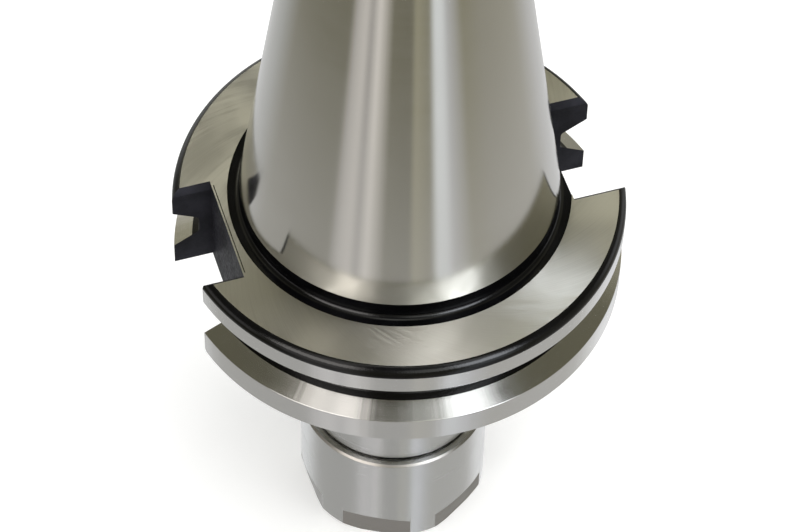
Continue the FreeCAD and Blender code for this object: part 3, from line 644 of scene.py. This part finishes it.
def makeHolderBody():
    h = holder
    topChamfer = h["smallEnd"] - h["endChamfer"]
    flankSlope = math.tan(math.radians(h["grooveFlank"]))
    mouth = h["grooveHalfFloor"] + (h["flangeRadius"] - h["grooveRadius"]) * flankSlope
    blackRise = h["grooveHalfFloor"] + (h["blackUpTo"] - h["grooveRadius"]) * flankSlope
    # The rim's edge is rounded: it runs on from the rim and meets the face at an angle
    edgeWidth, edgeDrop = h["flangeRadius"] - h["faceRadius"], h["faceLevel"] - h["faceEdgeEnd"]
    edgeTurn = 2 * math.degrees(math.atan(edgeWidth / edgeDrop))
    edgeRadius = edgeDrop / math.sin(math.radians(edgeTurn))
    bm = lathe([
        (taperRadius(h["smallEnd"]) - h["endChamfer"], h["smallEnd"]),
        (taperRadius(topChamfer), topChamfer),
        (taperRadius(h["footLevel"]), h["footLevel"]),
        (h["reliefRadius"], h["footLevel"]),
        (h["reliefRadius"], h["recessLevel"]),
        (h["recessRadius"], h["recessLevel"]),
        (h["recessRadius"], h["faceLevel"]),
        *arc(h["flangeRadius"] - edgeRadius, h["faceEdgeEnd"], edgeRadius, edgeTurn, 0),
        (h["flangeRadius"], h["grooveLevel"] + mouth),
        (h["blackUpTo"], h["grooveLevel"] + blackRise),
        (h["grooveRadius"], h["grooveLevel"] + h["grooveHalfFloor"]),
        (h["grooveRadius"], h["grooveLevel"] - h["grooveHalfFloor"]),
        (h["blackUpTo"], h["grooveLevel"] - blackRise),
        (h["flangeRadius"], h["grooveLevel"] - mouth),
        (h["flangeRadius"], h["backLevel"] + h["backChamfer"]),
        (h["flangeRadius"] - h["backChamfer"], h["backLevel"]),
        (h["neckRadius"], h["backLevel"]),
        (h["neckRadius"], h["neckEnd"] + h["neckChamfer"]),
        (h["neckRadius"] - h["neckChamfer"], h["neckEnd"]),
        (h["reliefGrooveRadius"], h["neckEnd"]),
        (h["reliefGrooveRadius"], h["threadStart"]),
        (h["coreRadius"], h["threadStart"]),
        (h["coreRadius"], h["noseFace"] + h["noseChamfer"]),
        (h["coreRadius"] - h["noseChamfer"], h["noseFace"]),
        (h["seatMouth"], h["noseFace"]),
        (h["seatEndRadius"], h["seatEnd"]),
        (h["toolBore"], h["seatEnd"]),
        (h["toolBore"], h["toolBoreEnd"]),
        (h["stopBore"], h["toolBoreEnd"]),
        (h["stopBore"], h["stopBoreEnd"]),
        (h["coolantBore"], h["stopBoreEnd"]),
        (h["coolantBore"], h["studDrillStart"]),
        (h["studBore"], h["studBottom"]),
        (h["studBore"], h["pilotStart"]),
        (h["pilotBore"], h["pilotStart"]),
        (h["pilotBore"], h["smallEnd"] - h["pilotChamfer"]),
        (h["pilotBore"] + h["pilotChamfer"], h["smallEnd"]),
    ])
    finishes = ["groundTaper", "groundFace", "groundRim", "turnedSteel",
                "blackTurned", "blackMilled"]
    taper, flangeFace, rim, turned, black, milled = range(len(finishes))
    near = 0.01                       # mm by which the middle of a face may miss its level
    recessFrom, recessTo = h["recessLevel"] - near, h["footLevel"]
    for face in bm.faces:
        centre = face.calc_center_median() / mm
        radius, level = math.hypot(centre.x, centre.y), centre.z
        inside = radius < h["pilotBore"] + h["pilotChamfer"] and level > h["seatEnd"]
        recess = radius < h["recessRadius"] + near and recessFrom < level < recessTo
        edge = radius > h["faceRadius"] and h["faceEdgeEnd"] < level < h["faceLevel"] - near
        groove = radius < h["blackUpTo"] and abs(level - h["grooveLevel"]) < blackRise
        onFlange = level > h["backLevel"] + near and radius > h["neckRadius"] + near
        if inside or recess or edge or groove and onFlange:
            face.material_index = black
        elif level > h["footLevel"]:
            face.material_index = taper
        elif level > h["faceLevel"] - near:
            face.material_index = flangeFace
        elif onFlange:
            face.material_index = rim
        else:
            face.material_index = turned
    breakRings(bm, [(h["reliefRadius"], h["recessLevel"], h["recessCorner"])], segments=6)
    breakRings(bm, [(h["grooveRadius"], h["grooveLevel"] + rise, h["grooveCorner"])
                    for rise in (h["grooveHalfFloor"], -h["grooveHalfFloor"])], segments=4)
    breakRings(bm, [(h["neckRadius"], h["backLevel"], h["neckCorner"])], segments=6)
    breakRings(bm, [(h["flangeRadius"], h["grooveLevel"] + rise, h["lipBreak"])
                    for rise in (mouth, -mouth)], segments=2)
    piece = toObject(bm, "holder", finishes)

    half, flare = h["slotHalfWidth"], h["slotChamfer"] + h["beyond"]
    low, high = h["backLevel"], h["faceLevel"]
    section = [
        (half, low + h["slotChamfer"]), (half, high - h["slotChamfer"]),
        (half + flare, high + h["beyond"]), (-half - flare, high + h["beyond"]),
        (-half, high - h["slotChamfer"]), (-half, low + h["slotChamfer"]),
        (-half - flare, low - h["beyond"]), (half + flare, low - h["beyond"]),
    ]
    for floorRadius, side in ((h["deepFloor"], 1), (h["shallowFloor"], -1)):
        corners = [(side * floorRadius, y, z) for y, z in section]
        along = (side * (h["flangeRadius"] + h["beyond"] - floorRadius), 0, 0)
        cut(piece, prism("slotCutter", corners, along, finishes, milled))
    # A thin groove, black inside, runs along the face just inside the shallow slot's floor
    line = -h["shallowFloor"] + h["lineInside"]
    corners = [(line + side * h["lineWidth"] / 2, -half, h["faceLevel"] + h["beyond"] * up)
               for side, up in ((-1, 1), (1, 1), (1, 0), (-1, 0))]
    corners[2:] = [(x, y, z - h["lineDepth"]) for x, y, z in corners[2:]]
    cut(piece, prism("lineCutter", corners, (0, 2 * half, 0), finishes, black))
    finishShading(piece)
    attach(piece, "holder")
    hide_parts("holder_body")


makeHolderBody()
print("Holder made")

# Threads: each ridge passes +X at its phase level and grows out of the root over a share of its
# pitch, its fade; its widths are what the mating ridge leaves free
noseThread = {"root": 11.36, "crest": 12, "baseWidth": 0.82, "tipWidth": 0.13, "pitch": 1,
              "from": -61.9, "halfTurns": 19, "phaseLevel": 0, "fade": 0.5}
studThread = {"root": 8.03, "crest": 6.95, "baseWidth": 1.75, "tipWidth": 0.45, "pitch": 2,
              "from": 39, "halfTurns": 21, "phaseLevel": 0, "fade": 0.4}
stopBoreThread = {"root": 6.02, "crest": 5.5, "baseWidth": 0.8, "tipWidth": 0.2, "pitch": 1,
                  "from": -26, "halfTurns": 69, "phaseLevel": 0.5, "fade": 0.5}


def makeHolderThreads():
    for name, thread, finish in (("noseThread", noseThread, "turnedSteel"),
                                 ("studThread", studThread, "blackTurned"),
                                 ("stopBoreThread", stopBoreThread, "blackTurned")):
        ridge = threadRidge(name, thread, [finish])
        finishShading(ridge)
        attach(ridge, "holder")


makeHolderThreads()
print("Holder's threads made")

# Nut, in millimetres from its front face
nut = {
    "front": -70, "radius": 14, "length": 19, "frontChamfer": 0.8, "backChamfer": 0.3,
    "mouthRadius": 8.3, "mouthLevel": 1.013, "chamberRadius": 9.95, "chamberLevel": 3.871,
    "ringLevel": 4.404, "ringEnd": 5.904, "ringWall": 9.3, "ringRadius": 10.1, "ringOffset": 0.8,
    "backChamberRadius": 11.2, "floor": 7.004, "reliefRadius": 12.4, "threadStart": 8.604,
    "threadRadius": 12.05, "threadChamfer": 0.8,
    "flats": 6, "flatDistance": 13, "flatLength": 4.2, "flatRunOut": 1.3, "turn": 2,
    "flatCutter": (4, 18.2),          # depth and width of the block that cuts a flat
    "ringCutter": 0.6, "ringSteps": 180,  # how much longer the ring's cutter is, and its sides
    "edgeBreak": 0.12, "backBreak": 0.03,
}
nutThread = {"root": 12.07, "crest": 11.5, "baseWidth": 0.8, "tipWidth": 0.2, "pitch": 1,
             "from": -61.2, "halfTurns": 18, "phaseLevel": 0.5, "fade": 0.5}


def makeNut():
    n = nut
    finishes = ["turnedSteel", "milledSteelPaintedShade"]
    turned, milled = range(len(finishes))
    bm = lathe([
        (n["radius"] - n["frontChamfer"], 0),
        (n["radius"], n["frontChamfer"]),
        (n["radius"], n["flatLength"] + n["flatRunOut"]),
        (n["radius"], n["length"] - n["backChamfer"]),
        (n["radius"] - n["backChamfer"], n["length"]),
        (n["threadRadius"] + n["threadChamfer"], n["length"]),
        (n["threadRadius"], n["length"] - n["threadChamfer"]),
        (n["threadRadius"], n["threadStart"]),
        (n["reliefRadius"], n["threadStart"]),
        (n["reliefRadius"], n["floor"]),
        (n["backChamberRadius"], n["floor"]),
        (n["backChamberRadius"], n["ringEnd"]),
        (n["ringWall"], n["ringEnd"]),
        (n["ringWall"], n["ringLevel"]),
        (n["chamberRadius"], n["ringLevel"]),
        (n["chamberRadius"], n["chamberLevel"]),
        (n["mouthRadius"], n["mouthLevel"]),
        (n["mouthRadius"], 0),
    ])
    # The chamfers of the back end take the darkened milled steel, painted shade for the shadowed
    # gap between neck and nut
    for face in bm.faces:
        centre = face.calc_center_median() / mm
        radius, level = math.hypot(centre.x, centre.y), centre.z
        toEnd = n["length"] - level
        outer = radius > n["radius"] - n["backChamfer"] and toEnd < n["backChamfer"]
        inner = radius < n["threadRadius"] + n["threadChamfer"] and toEnd < n["threadChamfer"]
        face.material_index = milled if outer or inner else turned
    bmesh.ops.translate(bm, vec=(0, 0, n["front"] * mm), verts=bm.verts)
    breakRings(bm, [(n["radius"], n["front"] + n["frontChamfer"], n["edgeBreak"]),
                    (n["radius"], n["front"] + n["length"] - n["backChamfer"], n["backBreak"]),
                    (n["mouthRadius"], n["front"], n["edgeBreak"])], segments=3)
    piece = toObject(bm, "nut", finishes)

    # Wrench flats: six blocks set round the front end, whose tops slope where the cutter ran out
    bm = bmesh.new()
    depth, width = n["flatCutter"]
    for number in range(n["flats"]):
        made = bmesh.ops.create_cube(bm, size=1)["verts"]
        bmesh.ops.scale(bm, vec=(depth * mm, width * mm, 2 * n["flatLength"] * mm), verts=made)
        for vert in made:
            if vert.co.x > 0 and vert.co.z > 0:
                vert.co.z += depth * mm
        place = (n["flatDistance"] + depth / 2) * mm
        bmesh.ops.translate(bm, vec=(place, 0, n["front"] * mm), verts=made)
        angle = math.radians(n["turn"] + number * 360 / n["flats"])
        bmesh.ops.rotate(bm, verts=made, cent=(0, 0, 0),
                         matrix=Quaternion((0, 0, 1), angle).to_matrix())
    # The flats are milled; their darkened tint is painted shade for the floor's contact shadow
    # that they mirror
    for face in bm.faces:
        face.material_index = milled
    cut(piece, toObject(bm, "flatCutter", finishes))

    # Pull-out ring: its bore stands off the axis, so that a tilted collet clicks in
    bm = bmesh.new()
    level = n["front"] + (n["ringLevel"] + n["ringEnd"]) / 2
    length = n["ringEnd"] - n["ringLevel"] + n["ringCutter"]
    made = bmesh.ops.create_cone(bm, cap_ends=True, segments=n["ringSteps"],
                                 radius1=n["ringRadius"] * mm, radius2=n["ringRadius"] * mm,
                                 depth=length * mm)["verts"]
    turn = math.radians(n["turn"])
    bmesh.ops.translate(bm, verts=made, vec=(
        n["ringOffset"] * math.cos(turn) * mm, n["ringOffset"] * math.sin(turn) * mm, level * mm))
    cut(piece, toObject(bm, "ringCutter", finishes))
    finishShading(piece)
    ridge = threadRidge("nutThread", nutThread, ["turnedSteel"])
    finishShading(ridge)
    for part in (piece, ridge):
        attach(part, "nut")
    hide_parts("clamping_nut")


makeNut()
print("Nut made")

# Collet, in millimetres from its front face
collet = {
    "front": -69.6, "length": 31.5, "faceRadius": 7.9, "frontTaper": 3.204, "collarRadius": 9.75,
    "collarEnd": 3.804, "grooveRadius": 8.75, "taperStart": 6.504, "radius": 10.5,
    "backRadius": 6.987, "backChamfer": 0.5, "bore": 5, "boreChamfer": 0.5,
    "slits": 8, "slitWidth": 0.8, "backWall": 4.5, "frontWall": 9.5, "edgeBreak": 0.1,
    "beyond": 2,                      # how far the slits' cutters reach past the steel
    "steps": 240,
}


def makeCollet():
    c = collet
    finishes = ["groundCollet", "milledSteelPaintedShade"]
    milled = finishes.index("milledSteelPaintedShade")
    slope = (c["radius"] - c["backRadius"]) / (c["length"] - c["taperStart"])
    bm = lathe([
        (c["bore"] + c["boreChamfer"], 0),
        (c["faceRadius"], 0),
        (c["collarRadius"], c["frontTaper"]),
        (c["collarRadius"], c["collarEnd"]),
        (c["grooveRadius"], c["collarEnd"]),
        (c["grooveRadius"], c["taperStart"]),
        (c["radius"], c["taperStart"]),
        (c["backRadius"] + c["backChamfer"] * slope, c["length"] - c["backChamfer"]),
        (c["backRadius"] - c["backChamfer"], c["length"]),
        (c["bore"] + c["boreChamfer"], c["length"]),
        (c["bore"], c["length"] - c["boreChamfer"]),
        (c["bore"], c["boreChamfer"]),
    ], steps=c["steps"])
    bmesh.ops.translate(bm, vec=(0, 0, c["front"] * mm), verts=bm.verts)
    breakRings(bm, [(c["faceRadius"], c["front"], c["edgeBreak"]),
                    (c["radius"], c["front"] + c["taperStart"], c["edgeBreak"])], segments=2)
    piece = toObject(bm, "collet", finishes)

    # Slits: eight from the front and eight from the back, half a step apart
    bm = bmesh.new()
    inside, outside = c["bore"] - c["beyond"], c["radius"] + c["beyond"]
    half = 180 / c["slits"]
    for shift, low, high in ((0, -c["beyond"], c["length"] - c["backWall"]),
                             (half, c["frontWall"], c["length"] + c["beyond"])):
        size = Vector((outside - inside, c["slitWidth"], high - low)) * mm
        place = Vector(((inside + outside) / 2, 0, c["front"] + (low + high) / 2)) * mm
        for number in range(c["slits"]):
            made = bmesh.ops.create_cube(bm, size=1)["verts"]
            bmesh.ops.scale(bm, vec=size, verts=made)
            bmesh.ops.translate(bm, vec=place, verts=made)
            angle = math.radians(shift + number * 2 * half)
            bmesh.ops.rotate(bm, verts=made, cent=(0, 0, 0),
                             matrix=Quaternion((0, 0, 1), angle).to_matrix())
    for face in bm.faces:
        face.material_index = milled
    cut(piece, toObject(bm, "slitCutter", finishes))
    finishShading(piece)
    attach(piece, "collet")
    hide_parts("spring_collet")


makeCollet()
print("Collet made")

# Stop screw, in millimetres from its lower face
stopScrew = {
    "bottom": -22.6, "length": 18, "coreRadius": 5.38, "endRadius": 4.95, "hole": 2,
    "keyAcross": 6, "keySides": 6, "keyDepth": 8, "steps": 144, "threadSteps": 72,
}
stopScrewThread = {"root": 5.36, "crest": 5.95, "baseWidth": 0.8, "tipWidth": 0.14, "pitch": 1,
                   "from": -22, "halfTurns": 33, "phaseLevel": 0, "fade": 0.5}


def makeStopScrew():
    s = stopScrew
    chamfer = s["coreRadius"] - s["endRadius"]
    bm = lathe([
        (s["hole"], 0),
        (s["endRadius"], 0),
        (s["coreRadius"], chamfer),
        (s["coreRadius"], s["length"] - chamfer),
        (s["endRadius"], s["length"]),
        (s["hole"], s["length"]),
    ], steps=s["steps"])
    bmesh.ops.translate(bm, vec=(0, 0, s["bottom"] * mm), verts=bm.verts)
    piece = toObject(bm, "stopScrew", ["blackTurned"])
    bm = bmesh.new()
    corner = s["keyAcross"] / 2 / math.cos(math.pi / s["keySides"])
    made = bmesh.ops.create_cone(bm, cap_ends=True, segments=s["keySides"],
                                 radius1=corner * mm, radius2=corner * mm,
                                 depth=2 * s["keyDepth"] * mm)["verts"]
    bmesh.ops.translate(bm, vec=(0, 0, s["bottom"] * mm), verts=made)
    cut(piece, toObject(bm, "keyCutter", ["blackTurned"]))
    finishShading(piece)
    ridge = threadRidge("stopScrewThread", stopScrewThread, ["blackTurned"], s["threadSteps"])
    finishShading(ridge)
    for part in (piece, ridge):
        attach(part, "stop")
    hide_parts("stop_screw")


makeStopScrew()
print("Stop screw made")

bpy.context.view_layer.update()
